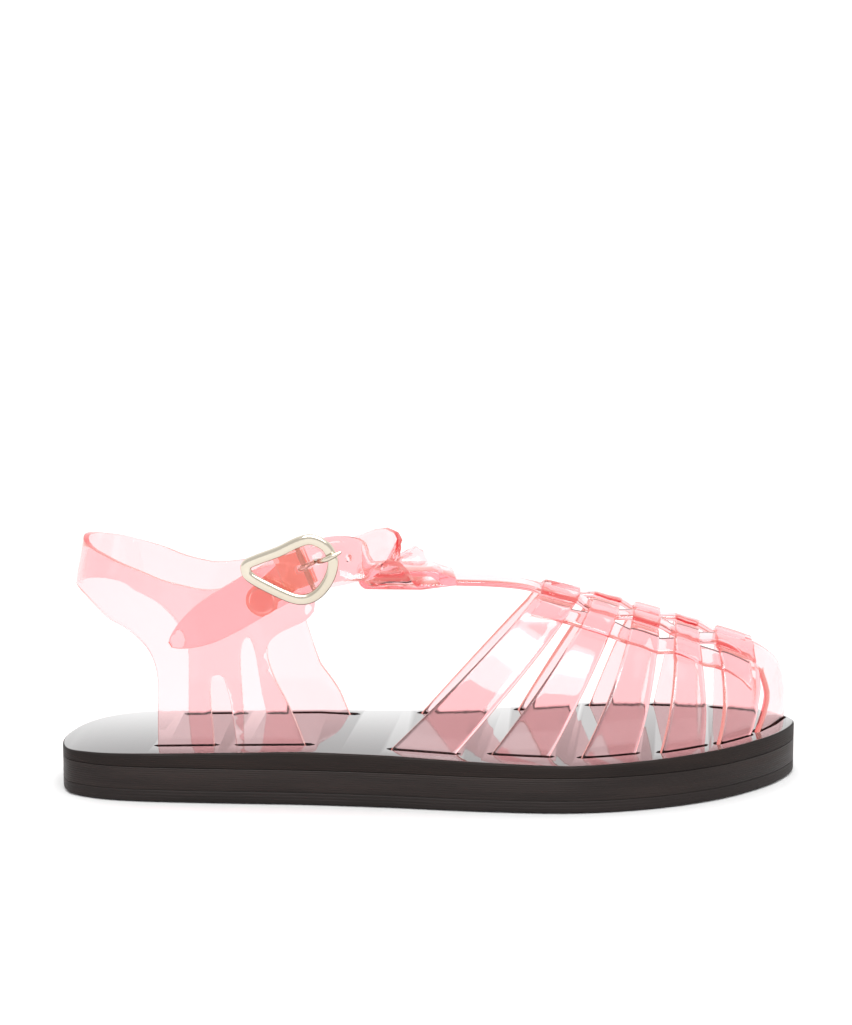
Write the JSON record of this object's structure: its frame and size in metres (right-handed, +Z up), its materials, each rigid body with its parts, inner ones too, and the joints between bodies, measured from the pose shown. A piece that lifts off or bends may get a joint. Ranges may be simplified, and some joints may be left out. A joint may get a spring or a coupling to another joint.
{
  "type": "jelly sandal",
  "caption": "Right flat jelly sandal with a woven strap cage over the toes, a folded instep loop, a heel collar on legs and a buckled ankle strap.",
  "frame": {"origin": "on the floor under the middle of the shoe's box", "axes": "+X from heel to toe, +Y towards the inner side of the foot, +Z up"},
  "size_m": [0.25, 0.0891, 0.0919],
  "materials": {
    "outsole": "satin dark brown",
    "midsole": "satin dark brown",
    "insole": "smooth satin dark brown",
    "jelly": "clear pale pink, glossy",
    "metal": "polished pale gold"
  },
  "bodies": {
    "root": {"outsole": "outsole", "midsole": "midsole", "insole": "insole", "forefoot_upper": "jelly", "heel_upper": "jelly", "buckle_frame": "metal", "buckle_pin": "metal", "buckle_carrier": "jelly"}
  },
  "joints": []
}
